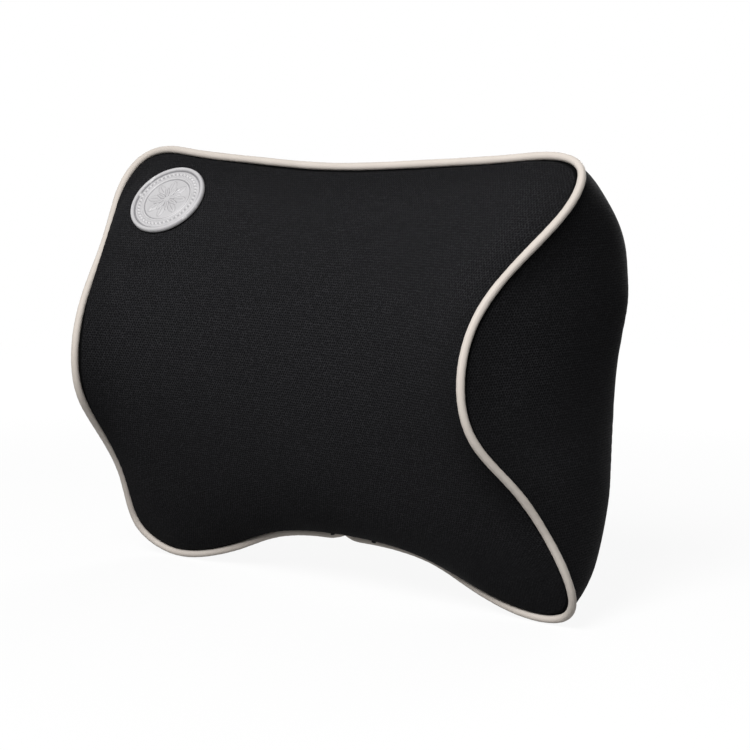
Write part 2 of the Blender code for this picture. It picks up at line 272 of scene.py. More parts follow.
def side_ring(seam, rim, turn):
    """The side's ring at a share of the turn from the seam to the back face."""
    back_pole = np.array((0.0, 0.0, CENTRE_UP))
    outward = (rim - back_pole) * RIM_RADIUS / np.array((HALF_WIDTH, 1.0, CENTRE_UP))
    angle = math.pi / 2 * turn
    backward = math.sin(angle) ** (2 / SIDE_POWER)
    inward = 1 - math.cos(angle) ** (2 / SIDE_POWER)
    straight = seam + (rim - seam) * backward
    return straight - outward * inward + unit(outward) * SIDE_BULGE * math.sin(math.pi * backward)


def columns(rings):
    """Rings from the seam to a pole, with the distance from the seam along each column."""
    rings = np.array(rings)
    steps = np.linalg.norm(np.diff(rings, axis=0), axis=2)
    reach = np.vstack((np.zeros(rings.shape[1]), np.cumsum(steps, axis=0)))
    return rings, reach


def sample(rings, reach, distances):
    """The point of each column at its own distance from the seam."""
    out = np.empty((rings.shape[1], 3))
    for j in range(rings.shape[1]):
        for axis in range(3):
            out[j, axis] = np.interp(distances[j], reach[:, j], rings[:, j, axis])
    return out


def wave(seed, values, length):
    """Smooth seeded noise from -1 to 1 along a closed length."""
    maker = np.random.default_rng(seed)
    turn = 2 * math.pi * values / length
    total = np.zeros_like(values)
    for n in range(3, 40):
        total += maker.normal() * np.cos(n * turn + maker.uniform(0, 2 * math.pi)) / n ** 0.7
    return total / np.abs(total).max()


def mesh_object(name, points, faces, uvs=None):
    mesh = bpy.data.meshes.new(name)
    mesh.from_pydata([tuple(p) for p in points], [], faces)
    if uvs is not None:
        layer = mesh.uv_layers.new(name="weave")
        loops = np.empty(len(mesh.loops), np.int32)
        mesh.loops.foreach_get("vertex_index", loops)
        layer.data.foreach_set("uv", np.asarray(uvs, np.float32)[loops].ravel())
    return linked(name, mesh)


def linked(name, mesh):
    """A smooth-shaded object of a mesh, in the scene."""
    mesh.shade_smooth()
    made = bpy.data.objects.new(name, mesh)
    bpy.context.scene.collection.objects.link(made)
    return made


def finished(name, work):
    """The object that a finished bmesh makes."""
    mesh = bpy.data.meshes.new(name)
    work.to_mesh(mesh)
    work.free()
    return linked(name, mesh)


def face_outward(made):
    """Turn a closed mesh's faces to look outward."""
    work = bmesh.new()
    work.from_mesh(made.data)
    bmesh.ops.recalc_face_normals(work, faces=work.faces[:])
    work.to_mesh(made.data)
    work.free()
    return made


# The seam's frame: where each panel leaves it and which way is into the pillow

seam, rim = seam_and_rim()
COUNT = len(seam)
steps = np.linalg.norm(np.roll(seam, -1, axis=0) - seam, axis=1)
seam_at = np.concatenate(([0.0], np.cumsum(steps)[:-1]))
SEAM_LENGTH = steps.sum()
waves = np.fft.rfft(seam, axis=0)
front_rings = [front_ring(waves, seam, 1 - i / DENSE) for i in range(DENSE + 1)]
front_rings[-1][:] = front_rings[-1].mean(axis=0)
back_rings = [side_ring(seam, rim, (i / DENSE) ** BACK_CROWDING) for i in range(DENSE + 1)]
back_pole = np.array((0.0, 0.0, CENTRE_UP))
flat_back = back_rings[-1]
for share in np.linspace(0, 1, BACK_RINGS)[1:]:
    back_rings.append(flat_back + (back_pole - flat_back) * share)
front_grid, front_reach = columns(front_rings)
back_grid, back_reach = columns(back_rings)
tangent = along(seam)


def square_to_seam(vectors):
    """The part of each vector that is square to the seam at its point."""
    return vectors - (vectors * tangent).sum(axis=1, keepdims=True) * tangent


front_start = sample(front_grid, front_reach, np.full(COUNT, EDGE_START))
back_start = sample(back_grid, back_reach, np.full(COUNT, EDGE_START))
front_away = unit(square_to_seam(front_start - seam))
back_away = unit(square_to_seam(back_start - seam))
into = unit(front_away + back_away)

# The panels' turned-in edge beside the piping: distance from the cord's middle as a share of
# EDGE_START, and share of the way round the cord
TURNED_EDGE = (
    (1.00, 0.00),
    (0.84, 0.01),
    (0.70, 0.03),
    (0.58, 0.08),
    (0.49, 0.16),
    (0.42, 0.27),
    (0.35, 0.40),
    (0.295, 0.54),
    (0.262, 0.70),
    (0.255, 0.86),
    (0.29, 1.02),
)
BESIDE_CORD = 0.45          # from this share inward the edge keeps to the cord's own roundness


def turned_edge(start, away):
    """Rings from where the panel begins to turn in to the groove under the piping."""
    reach = np.linalg.norm(square_to_seam(start - seam), axis=1)
    lean = ((start - seam) * tangent).sum(axis=1)
    crossing = np.arccos(np.clip((away * into).sum(axis=1), -1, 1))
    rings = []
    for far, turned in TURNED_EDGE:
        beside = (EDGE_START - reach) * (far < BESIDE_CORD)
        radius = np.minimum(far * EDGE_START, far * reach + beside)
        turn = turned * crossing
        toward = unit(into - away * (into * away).sum(axis=1, keepdims=True))
        spoke = away * np.cos(turn)[:, None] + toward * np.sin(turn)[:, None]
        share = radius / reach
        rings.append(seam + spoke * radius[:, None] + tangent * (lean * share)[:, None])
    return rings


def panel_rings(grid, reach, rows, start, away, spread):
    """Rings of a whole panel from its pole out to the groove."""
    full = reach[-1]
    rings = []
    for i in range(1, rows):
        share = i / rows
        depth = 1 - (1 - spread) * share - spread * (1 - (1 - share) ** 2)
        rings.append(sample(grid, reach, EDGE_START + (full - EDGE_START) * depth))
    return rings + turned_edge(start, away)


front_panel_rings = panel_rings(front_grid, front_reach, FRONT_ROWS, front_start, front_away, 0.45)
back_panel_rings = panel_rings(back_grid, back_reach, BACK_ROWS, back_start, back_away, 0.15)


def grid_faces(ring_count, count, flip):
    """Faces of a pole and the rings round it, each of count points."""
    faces = []
    for j in range(count):
        k = (j + 1) % count
        faces.append((0, 1 + k, 1 + j) if flip else (0, 1 + j, 1 + k))
    for i in range(ring_count - 1):
        a = 1 + i * count
        for j in range(count):
            k = (j + 1) % count
            quad = (a + j, a + count + j, a + count + k, a + k)
            faces.append(quad[::-1] if flip else quad)
    return faces


# The fabric settles over the foam: a coarse closed skin under light pressure

def coarse_skin(grids):
    """One closed skin of both panels, from every second point of their rings."""
    points, faces = [], []
    for grid, flip in grids:
        picked = grid[:, ::2]
        start = len(points)
        points.append(picked[0].mean(axis=0))
        for ring in picked[1:]:
            points.extend(ring)
        for face in grid_faces(len(picked) - 1, picked.shape[1], flip):
            faces.append(tuple(start + v for v in face))
    work = bmesh.new()
    for p in points:
        work.verts.new(p)
    work.verts.ensure_lookup_table()
    for face in faces:
        work.faces.new([work.verts[v] for v in face])
    bmesh.ops.remove_doubles(work, verts=work.verts[:], dist=0.0004)
    bmesh.ops.recalc_face_normals(work, faces=work.faces[:])
    return finished("settling", work)


def settled(grids):
    """How a coarse skin moves that is blown up lightly with its seam held."""
    skin = coarse_skin(grids)
    remesh = skin.modifiers.new("even", "REMESH")
    remesh.mode = "VOXEL"
    remesh.voxel_size = SETTLE_VOXEL
    dg = bpy.context.evaluated_depsgraph_get()
    even = bpy.data.meshes.new_from_object(skin.evaluated_get(dg))
    skin.modifiers.clear()
    skin.data = even
    rest = np.array([v.co for v in even.vertices])
    group = skin.vertex_groups.new(name="held")
    centre = badge_place()[0]
    for v in even.vertices:
        co = np.array(v.co)
        gap = np.linalg.norm(seam - co, axis=1).min()
        weight = float(1 - smooth((gap - HELD_AT_SEAM) / HELD_FADE))
        if co[1] > -HELD_AT_BACK:
            weight = max(weight, 0.9)
        if np.linalg.norm(co - centre) < BADGE_RADIUS + HELD_AT_BADGE:
            weight = 1.0
        group.add([v.index], weight, "REPLACE")
    cloth = skin.modifiers.new("cloth", "CLOTH")
    settings = cloth.settings
    settings.quality = 6
    settings.mass = 0.25
    settings.tension_stiffness = 30
    settings.compression_stiffness = 30
    settings.shear_stiffness = 12
    settings.bending_stiffness = 0.4
    settings.vertex_group_mass = "held"
    settings.pin_stiffness = 1.0
    settings.use_pressure = True
    settings.uniform_pressure_force = SETTLE_PRESSURE
    settings.effector_weights.gravity = 0.0
    cloth.collision_settings.use_self_collision = False
    cloth.point_cache.frame_start = 1
    cloth.point_cache.frame_end = SETTLE_FRAMES
    scene = bpy.context.scene
    scene.frame_start, scene.frame_end = 1, SETTLE_FRAMES
    for number in range(1, SETTLE_FRAMES + 1):
        scene.frame_set(number)
    dg = bpy.context.evaluated_depsgraph_get()
    done = bpy.data.meshes.new_from_object(skin.evaluated_get(dg))
    moved = np.array([v.co for v in done.vertices]) - rest
    size = np.linalg.norm(moved, axis=1, keepdims=True)
    moved *= SETTLE_CAP * np.tanh(size / SETTLE_CAP) / np.maximum(size, 1e-9)
    polygons = [tuple(p.vertices) for p in even.polygons]
    tree = BVHTree.FromPolygons([Vector(p) for p in rest], polygons)
    bpy.data.objects.remove(skin, do_unlink=True)
    scene.frame_set(1)
    return tree, polygons, rest, moved


def displacement(settling, points):
    """The skin's movement carried over to the fine points, by nearness to its corners."""
    tree, polygons, rest, moved = settling
    out = np.zeros((len(points), 3))
    for i, p in enumerate(points):
        _, _, face, _ = tree.find_nearest(Vector(p))
        corners = list(polygons[face])
        weights = 1 / (np.linalg.norm(rest[corners] - p, axis=1) + 1e-4) ** 2
        out[i] = (moved[corners] * weights[:, None]).sum(axis=0) / weights.sum()
    return out


def grid_of(pole, rings):
    """A pole and its rings as one grid of points."""
    return np.array([np.repeat(pole[None, :], COUNT, axis=0)] + list(rings))


front_panel = grid_of(front_grid[-1].mean(axis=0), front_panel_rings)
back_panel = grid_of(back_pole, back_panel_rings)
settling = None
settling = settled(((front_panel, False), (back_panel, True)))


def outward_normals(panel, sign):
    across = np.roll(panel, -1, axis=1) - np.roll(panel, 1, axis=1)
    down = np.gradient(panel, axis=0)
    normals = np.cross(across, down) * sign
    length = np.linalg.norm(normals, axis=2, keepdims=True)
    return normals / np.maximum(length, 1e-12)


def with_relief(panel, sign, seed):
    """A panel's grid with the settling, the stitch puckers and a hand's unevenness."""
    normals = outward_normals(panel, sign)
    normals[0] = unit(normals[1].mean(axis=0))
    gap = np.linalg.norm(panel - seam[None, :, :], axis=2)
    lifted = panel.copy()
    if settling is not None:
        shift = displacement(settling, panel.reshape(-1, 3)).reshape(panel.shape)
        for _ in range(4):
            shift[1:-1] = (shift[:-2] + shift[2:] + 2 * shift[1:-1]) / 4
            shift = (np.roll(shift, 1, axis=1) + np.roll(shift, -1, axis=1) + 2 * shift) / 4
        lifted += shift * smooth((gap - SETTLED_FROM) / HELD_FADE)[:, :, None]
    centre = badge_place()[0]
    off_badge = smooth((np.linalg.norm(panel - centre, axis=2) - BADGE_RADIUS) / 0.012)
    off_back = smooth((-panel[:, :, 1] - 0.001) / 0.012)
    free = off_badge * off_back
    stitch = np.sin(2 * math.pi * seam_at / SEAM_LENGTH * round(SEAM_LENGTH / STITCH_PITCH))
    rough = wave(seed, seam_at, SEAM_LENGTH)
    slow = wave(seed + 1, seam_at, SEAM_LENGTH)
    pucker = PUCKER * stitch * (1 + 0.6 * rough) * np.exp(-((gap - PUCKER_AT) / PUCKER_WIDTH) ** 2)
    pull = PULL * slow * np.exp(-((gap - PULL_AT) / PULL_WIDTH) ** 2)
    bump = np.zeros(gap.shape)
    for i in range(panel.shape[0]):
        for j in range(panel.shape[1]):
            p = Vector(panel[i, j])
            bump[i, j] = UNEVEN_BROAD * noise.noise(p * 28.0) + UNEVEN_FINE * noise.noise(p * 75.0)
    height = (pucker + pull + bump * smooth((gap - 0.003) / 0.01)) * free
    height[0] = height[1].mean()
    return lifted + normals * height[:, :, None]


def panel_object(name, panel, flip, uv):
    """A panel of fabric with its thickness, its map and its distance from the seam."""
    points = np.vstack((panel[0][:1], panel[1:].reshape(-1, 3)))
    made = mesh_object(name, points, grid_faces(len(panel) - 1, COUNT, flip), uv(points))
    # the distance from the seam, by which the knit's painted shade is drawn
    gap = np.linalg.norm(panel - seam, axis=2)
    layer = made.data.attributes.new("seam_gap", "FLOAT", "POINT")
    layer.data.foreach_set("value", np.concatenate((gap[0][:1], gap[1:].ravel())))
    work = bmesh.new()
    work.from_mesh(made.data)
    bmesh.ops.recalc_face_normals(work, faces=work.faces[:])
    middle = work.faces[0]
    outside = Vector((0, -1, 0)) if name == "front_cover" else Vector((0, 1, 0))
    if middle.normal.dot(outside) < 0:
        bmesh.ops.reverse_faces(work, faces=work.faces[:])
    work.to_mesh(made.data)
    work.free()
    made.data.shade_smooth()
    solid = made.modifiers.new("thickness", "SOLIDIFY")
    solid.thickness = PANEL_THICKNESS
    solid.offset = -1
    solid.use_rim = True
    return made


EDGE_STRETCH = 1.4          # the map's length for each length of height beyond the middle line


def front_uv(points):
    """Across, and the length over the front's middle line, in metres."""
    middle = front_grid[:, [int(np.argmin(np.abs(seam_at - SEAM_LENGTH / 2))), 0]]
    line = np.vstack((middle[:, 0], middle[::-1, 1]))
    order = np.argsort(line[:, 2])
    line = line[order]
    length = lengths(line[:, 1:])
    beyond = points[:, 2] - np.clip(points[:, 2], line[0, 2], line[-1, 2])
    upward = np.interp(points[:, 2], line[:, 2], length) + EDGE_STRETCH * beyond
    return np.stack((points[:, 0], upward), axis=1)


def back_uv(points):
    return np.stack((points[:, 0] + points[:, 1], points[:, 2]), axis=1)


front_cover = panel_object("front_cover", with_relief(front_panel, 1, 3), False, front_uv)
back_cover = panel_object("back_cover", with_relief(back_panel, -1, 8), True, back_uv)


# Piping: a cord in a bias-cut woven cover, with both ends turned into the seam

def swept(name, path, sides, radius_of, out):
    """A tube along a path, with a UV of length and way round in metres."""
    tangents = unit(np.gradient(path, axis=0))
    up = unit(out - (out * tangents).sum(axis=1, keepdims=True) * tangents)
    side = np.cross(tangents, up)
    length = lengths(path)
    points, uvs, faces = [], [], []
    for i in range(len(path)):
        for k in range(sides + 1):
            angle = 2 * math.pi * k / sides
            radius = radius_of(length[i], angle)
            points.append(path[i] + (up[i] * math.cos(angle) + side[i] * math.sin(angle)) * radius)
            uvs.append((length[i], angle * PIPING_RADIUS))
    for i in range(len(path) - 1):
        a = i * (sides + 1)
        b = a + sides + 1
        for k in range(sides):
            faces.append((a + k, b + k, b + k + 1, a + k + 1))
    faces.append(tuple(range(sides + 1))[::-1])
    faces.append(tuple(len(points) - sides - 1 + k for k in range(sides + 1)))
    return face_outward(mesh_object(name, points, faces, uvs))


CORD_FINENESS = 3           # points on the cord for each point on the seam
CORD_SIDES = 20
LEFTWARD = 1 if seam[3, 0] < 0 else -1
JOIN = LEFTWARD % COUNT     # where the ends meet, one point left of the bottom centre
LEFT_DIVE, RIGHT_DIVE, DIVE_DEPTH = 0.0100, 0.0090, 0.0023
TACKS_AT = (0.0182, -0.0066)            # from the cord's start, and from its end
TACK_SIZE = (0.0014, 0.0006, 0.0005)    # half its length, breadth and height


def finer(ring):
    """A closed ring of points, resampled smoothly."""
    return np.fft.irfft(np.fft.rfft(ring, axis=0), n=CORD_FINENESS * len(ring), axis=0) * CORD_FINENESS


def piping_path():
    """From the join round the seam and back to it, dipping in at both ends."""
    total = CORD_FINENESS * COUNT
    order = (CORD_FINENESS * JOIN - LEFTWARD * np.arange(total + 1)) % total
    line = finer(seam)[order]
    inward = unit(finer(into))[order]
    length = lengths(line)
    right = np.clip(1 - length / RIGHT_DIVE, 0, 1)
    left = np.clip(1 - (length[-1] - length) / LEFT_DIVE, 0, 1)
    depth = DIVE_DEPTH * (right ** 2.2 + left ** 1.6)
    return line + inward * depth[:, None], -inward, unit(finer(front_away))[order], length


path, out, frontward, path_at = piping_path()


# The cord's swellings and creases: length of a wave, how far it begins in, turns, height
CORD_WAVES = (
    (0.0310, 0.0, 0, 0.000030),
    (0.0113, 1.3, 0, 0.000018),
    (0.0042, 0.0, 1, 0.000022),
)


def cord_radius(length, angle):
    """The cord's radius with slow swellings and the slanted creases of its cover."""
    radius = PIPING_RADIUS
    for wavelength, begin, turns, height in CORD_WAVES:
        radius += math.sin(length * 2 * math.pi / wavelength + begin + turns * angle) * height
    return radius


piping = swept("piping_cord", path, CORD_SIDES, cord_radius, out)


def make_tacks():
    """Short bars of black thread that hold the two ends of the cord, on its front side."""
    work = bmesh.new()
    for at in (TACKS_AT[0], path_at[-1] + TACKS_AT[1]):
        i = int(np.argmin(np.abs(path_at - at)))
        ahead = unit(path[i + 1] - path[i - 1])
        raised = unit(0.97 * frontward[i] + 0.20 * out[i])
        axes = Matrix((ahead, np.cross(raised, ahead), raised)).transposed().to_4x4()
        place = Matrix.Translation(path[i] + raised * (PIPING_RADIUS - 0.0001))
        size = Matrix.Diagonal((*TACK_SIZE, 1.0))
        bmesh.ops.create_icosphere(work, subdivisions=3, radius=1.0, matrix=place @ axes @ size)
    return finished("piping_tacks", work)


tacks = make_tacks()


# Badge: a moulded disc with a rounded rim, a beaded band and a rosette

BADGE_RIM = 0.0019
BADGE_SIDES = 264
FIELD_SHARE = 0.62          # the field's height as a share of the whole
BAND_INNER = 0.0123
BAND_MIDDLE = (BADGE_RADIUS - BADGE_RIM + BAND_INNER) / 2 - 0.0001
BEADS = 44
BEAD_LONG, BEAD_BROAD, BEAD_RISE = 0.0008, 0.00062, 0.00058
RIM_GROOVE, BAND_RIDGE, BAND_GROOVE = 0.00055, 0.00036, 0.00034
ROSETTE_EDGE = BAND_INNER - 0.0012
LEAVES = 8
LEAF_WIDTH = 0.0017
LEAF_ROWS = (               # outer reach, inner reach, turn, rise
    (0.0102, 0.0040, 0.5, 0.00050),
    (0.0068, 0.0012, 0.0, 0.00064),
)
BOSS_RADIUS, BOSS_RISE = 0.0017, 0.0006


def bell(distance, width):
    return math.exp(-(distance / width) ** 2)


def in_sector(angle, count, turn=0.0):
    """How far an angle is from the middle of its sector, one of count, as a share of one."""
    return (angle * count / (2 * math.pi) + turn) % 1.0 - 0.5


def badge_height(radius, angle, top, field):
    """Height above the underside at a point of the badge's face."""
    edge = BADGE_RADIUS - radius
    if edge < BADGE_RIM:
        share = edge / BADGE_RIM
        roll = math.sqrt(max(0.0, 1 - (2 * share - 1) ** 2))
        base = field * 0.55 if share < 0.5 else field
        return base + (top - base) * roll
    height = field - RIM_GROOVE * bell(edge - BADGE_RIM - 0.0004, 0.00030)
    height += BAND_RIDGE * bell(radius - BAND_INNER, 0.00026)
    height -= BAND_GROOVE * bell(radius - BAND_INNER + 0.0007, 0.00026)
    around = in_sector(angle, BEADS) * 2 * math.pi * BAND_MIDDLE / BEADS
    bead = (around / BEAD_BROAD) ** 2 + ((radius - BAND_MIDDLE) / BEAD_LONG) ** 2
    height += max(0.0, 1 - bead) ** 0.5 * BEAD_RISE
    if radius >= ROSETTE_EDGE:
        return height
    for reach, inner, turn, rise in LEAF_ROWS:
        across = in_sector(angle, LEAVES, turn) * 2 * math.pi * radius / LEAVES
        long = (2 * radius - reach - inner) / (reach - inner)
        if abs(long) < 1:
            width = LEAF_WIDTH * (reach / LEAF_ROWS[0][0]) * (1 - long * long) ** 0.7 + 1e-6
            share = abs(across) / width
            if share < 1:
                vein = 0.45 * bell(across, 0.00026)
                height = max(height, field + rise * ((1 - share * share) ** 0.5 - vein))
    if radius < BOSS_RADIUS:
        height = max(height, field + BOSS_RISE * math.sqrt(1 - (radius / BOSS_RADIUS) ** 2))
    return height


def make_badge():
    centre, side, upward, facing = badge_place()
    centre = centre - np.array((0.0, 0.0, MOUNT_UP))
    solid = np.array([v.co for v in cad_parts["badge"].data.vertices])
    lifts = (solid - centre) @ facing
    under, top = lifts.min(), lifts.max() - lifts.min()
    field = top * FIELD_SHARE
    radii = np.concatenate((
        np.linspace(0.0006, ROSETTE_EDGE, 34),
        np.linspace(BAND_INNER - 0.0010, BADGE_RADIUS - BADGE_RIM, 26),
        BADGE_RADIUS - BADGE_RIM * (0.5 + 0.5 * np.cos(np.linspace(0.12, math.pi, 14))),
    ))
    points = [centre + facing * (under + badge_height(0.0, 0.0, top, field))]
    uvs = [(0.0, 0.0)]

    def ring(radius, lift_at):
        for k in range(BADGE_SIDES):
            angle = 2 * math.pi * k / BADGE_SIDES
            spoke = side * math.cos(angle) + upward * math.sin(angle)
            points.append(centre + spoke * radius + facing * (under + lift_at(angle)))
            uvs.append((radius * math.cos(angle), radius * math.sin(angle)))

    for radius in radii:
        ring(radius, lambda angle: badge_height(radius, angle, top, field))
    ring(BADGE_RADIUS, lambda angle: 0.0002)
    ring(BADGE_RADIUS - 0.0002, lambda angle: 0.0)
    faces = grid_faces(len(radii) + 2, BADGE_SIDES, True)
    faces.append(tuple(range(len(points) - BADGE_SIDES, len(points))))
    return face_outward(mesh_object("badge_face", points, faces, uvs))


badge = make_badge()


# Strap: flat ribbed elastic with folded hems, sewn down at both ends

STRAP_ROWS = 61             # points across the strap
STRAP_RIBS = 15             # ribs on each half of its breadth
RIB_RISE = 0.00009
BOW_RISE = 0.00009          # how far its middle bows out between the hems
EDGE_THICKNESS = 0.0003
END_THICKNESS = 0.0004


def strap_height(x, v):
    """Height at x along the strap and v, from -1 to 1, across it, with its hand-laid sway."""
    sway = 0.00025 * math.sin(x * 90) + 0.00012 * math.sin(x * 230 + 1)
    return STRAP_UP - MOUNT_UP + v * (STRAP_WIDTH / 2 - 0.0002) + sway


def make_strap():
    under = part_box("strap")[0].y
    half = STRAP_LENGTH / 2
    hem = half - STRAP_HEM_LENGTH
    xs = np.concatenate((
        np.linspace(-half, -half + 0.0012, 5),
        np.linspace(-half + 0.0016, -hem - 0.0002, 14),
        np.linspace(-hem, -hem + 0.0022, 7),
        np.linspace(-hem + 0.004, hem - 0.004, 90),
        np.linspace(hem - 0.0022, hem, 7),
        np.linspace(hem + 0.0002, half - 0.0016, 14),
        np.linspace(half - 0.0012, half, 5),
    ))
    points, uvs, faces = [], [], []

    def thickness(x):
        """Thickness along the strap: doubled in the hems and rounded off at the ends."""
        inside = hem - abs(x)
        rise = float(smooth(1 - inside / 0.0020)) if inside > 0 else 1.0
        end = half - abs(x)
        round_end = math.sqrt(max(0.0, 1 - (1 - min(end / 0.0011, 1.0)) ** 2))
        full = STRAP_THICKNESS + (STRAP_HEM_THICKNESS - STRAP_THICKNESS) * rise
        return END_THICKNESS + (full - END_THICKNESS) * round_end

    for x in xs:
        thick = thickness(x) - EDGE_THICKNESS
        for k in range(STRAP_ROWS):
            v = -1 + 2 * k / (STRAP_ROWS - 1)
            edge = math.sqrt(max(0.0, 1 - max(0.0, (abs(v) - 0.965) / 0.035) ** 2))
            rib = RIB_RISE * math.cos(v * STRAP_RIBS * 2 * math.pi)
            bow = BOW_RISE * (1 - v * v) if abs(x) < hem else 0.0
            y = under + EDGE_THICKNESS + thick * (0.45 + 0.55 * edge) + rib * edge + bow
            z = strap_height(x, v)
            points.append((x, y, z))
            uvs.append((x, z))
    for i in range(len(xs) - 1):
        for k in range(STRAP_ROWS - 1):
            a = i * STRAP_ROWS + k
            faces.append((a, a + 1, a + STRAP_ROWS + 1, a + STRAP_ROWS))
    below = len(points)
    for x in xs:
        for v in (-1, 1):
            z = strap_height(x, v)
            points.append((x, under, z))
            uvs.append((x, z))
    for i in range(len(xs) - 1):
        a = below + 2 * i
        faces.append((a + 1, a, a + 2, a + 3))
        low, high = i * STRAP_ROWS, (i + 1) * STRAP_ROWS - 1
        faces.append((a, low, low + STRAP_ROWS, a + 2))
        faces.append((a + 1, a + 3, high + STRAP_ROWS, high))
    faces.append((below, below + 1, *reversed(range(STRAP_ROWS))))
    end = (len(xs) - 1) * STRAP_ROWS
    last = below + 2 * (len(xs) - 1)
    faces.append((last + 1, last, *range(end, end + STRAP_ROWS)))
    made = face_outward(mesh_object("strap_elastic", points, faces, uvs))
    made.data.set_sharp_from_angle(angle=math.radians(60))
    return made, thickness, under


strap, strap_thickness, strap_under = make_strap()

THREAD_PITCH = 0.0029
THREAD_GAP = 0.09           # bare at each end of a stitch, as a share of the pitch
THREAD_HALF = (0.00022, 0.00026)        # half its height over the strap, and its breadth
BOX_MARGIN = 0.003


def make_stitches():
    """A sewn box with a cross in each hem, as short raised threads."""
    work = bmesh.new()
    half = STRAP_LENGTH / 2
    inner = half - STRAP_HEM_LENGTH + 0.0022
    outer = half - 0.0026
    low = STRAP_UP - MOUNT_UP - STRAP_WIDTH / 2 + BOX_MARGIN
    high = STRAP_UP - MOUNT_UP + STRAP_WIDTH / 2 - BOX_MARGIN

    def run(a, b):
        a, b = np.array(a), np.array(b)
        count = max(1, round(np.linalg.norm(b - a) / THREAD_PITCH))
        for k in range(count):
            start = a + (b - a) * (k + THREAD_GAP) / count
            stop = a + (b - a) * (k + 1 - THREAD_GAP) / count
            middle = (start + stop) / 2
            length = np.linalg.norm(stop - start)
            angle = math.atan2(stop[1] - start[1], stop[0] - start[0])
            y = strap_under + strap_thickness(middle[0]) + 0.0001
            place = Matrix.Translation((middle[0], y, middle[1]))
            turn = Matrix.Rotation(-angle, 4, "Y")
            size = Matrix.Diagonal((length / 2, *THREAD_HALF, 1.0))
            bmesh.ops.create_icosphere(work, subdivisions=2, radius=1.0, matrix=place @ turn @ size)

    for sign in (-1, 1):
        corners = [(sign * inner, low), (sign * outer, low), (sign * outer, high), (sign * inner, high)]
        for a, b in zip(corners, corners[1:] + corners[:1]):
            run(a, b)
        run(corners[0], corners[2])
        run(corners[1], corners[3])
    return finished("strap_stitches", work)


stitches = make_stitches()

# These were made with the height counted from the seam's foot, and the origin is the mount
for piece in (front_cover, back_cover, piping, tacks):
    piece.data.transform(Matrix.Translation((0.0, 0.0, -MOUNT_UP)))


# Materials

class Nodes:
    """A material's node tree with short ways to add and link nodes."""

    def __init__(self, name):
        self.material = bpy.data.materials.new(name)
        self.material.use_nodes = True
        self.tree = self.material.node_tree
        self.shader = self.tree.nodes["Principled BSDF"]

    def add(self, kind, **settings):
        node = self.tree.nodes.new(kind)
        for key, value in settings.items():
            setattr(node, key, value)
        return node

    def put(self, value, socket):
        if isinstance(value, bpy.types.NodeSocket):
            self.tree.links.new(value, socket)
        else:
            socket.default_value = value

    def maths(self, operation, *values):
        node = self.add("ShaderNodeMath", operation=operation)
        for value, socket in zip(values, node.inputs):
            self.put(value, socket)
        return node.outputs[0]

    def noise(self, vector, scale, detail=3.0):
        node = self.add("ShaderNodeTexNoise")
        self.put(vector, node.inputs["Vector"])
        node.inputs["Scale"].default_value = scale
        node.inputs["Detail"].default_value = detail
        return node.outputs["Fac"]

    def mix(self, share, a, b):
        node = self.add("ShaderNodeMix", data_type="RGBA")
        self.put(share, node.inputs["Factor"])
        self.put(a, node.inputs["A"])
        self.put(b, node.inputs["B"])
        return node.outputs["Result"]

    def spread(self, value, low, high, to_low=0.0, to_high=1.0):
        node = self.add("ShaderNodeMapRange", interpolation_type="SMOOTHSTEP")
        self.put(value, node.inputs["Value"])
        node.inputs["From Min"].default_value = low
        node.inputs["From Max"].default_value = high
        node.inputs["To Min"].default_value = to_low
        node.inputs["To Max"].default_value = to_high
        return node.outputs["Result"]

    def split(self, vector):
        node = self.add("ShaderNodeSeparateXYZ")
        self.put(vector, node.inputs[0])
        return node.outputs

    def bump(self, height, distance, strength=1.0, normal=None):
        node = self.add("ShaderNodeBump")
        node.inputs["Strength"].default_value = strength
        node.inputs["Distance"].default_value = distance
        self.put(height, node.inputs["Height"])
        if normal is not None:
            self.put(normal, node.inputs["Normal"])
        return node.outputs["Normal"]

    def finish(self, colour, roughness, normal=None, **fixed):
        self.put(colour, self.shader.inputs["Base Color"])
        self.put(roughness, self.shader.inputs["Roughness"])
        if normal is not None:
            self.put(normal, self.shader.inputs["Normal"])
        for key, value in fixed.items():
            self.shader.inputs[key.replace("_", " ")].default_value = value
        return self.material


# Colours, as linear red, green, blue and 1
KNIT_YARN = (0.0136, 0.0136, 0.0146, 1), (0.0151, 0.0151, 0.0162, 1)
KNIT_BRIGHT = (0.0275, 0.0275, 0.0295, 1)
KNIT_HOLLOW = (0.0054, 0.0054, 0.0060, 1)
KNIT_LINT = (0.029, 0.029, 0.031, 1)
# painted shade: the near-black of the knit in the groove beside the piping
KNIT_SEAM_SHADE = (0.0030, 0.0030, 0.0032, 1)
PIPING_COVER = (0.680, 0.620, 0.560, 1), (0.740, 0.680, 0.620, 1)
PIPING_BETWEEN = (0.620, 0.560, 0.505, 1)
BADGE_FACE = (0.490, 0.481, 0.490, 1), (0.535, 0.526, 0.535, 1)
# painted shade in the badge's grooves and hollows
BADGE_CREVICE_SHADE = (0.25, 0.245, 0.255, 1)
# painted highlight on the badge's raised edges and ridges
BADGE_EDGE_HIGHLIGHT = (0.70, 0.69, 0.69, 1)
STRAP_YARN = (0.016, 0.016, 0.018, 1), (0.024, 0.024, 0.026, 1)
STRAP_BETWEEN = (0.008, 0.008, 0.009, 1)
FOAM_SKIN = (0.70, 0.65, 0.54, 1), (0.76, 0.72, 0.62, 1)
FOAM_PORE = (0.50, 0.45, 0.36, 1)

KNIT_PITCH = 0.00110
KNIT_WOBBLE = 0.0011        # how far the stitches wander from their even rows
SEAM_SHADE_LINE = 0.0027, 0.0038           # painted shade beside the piping, by distance from the seam
SEAM_SHADE_BAND = 0.0030, 0.0280             # where painted shade darkens the knit towards the seam
PIPING_PITCH = 0.00040
RIB_PITCH, PICK_PITCH = 0.0013, 0.0008


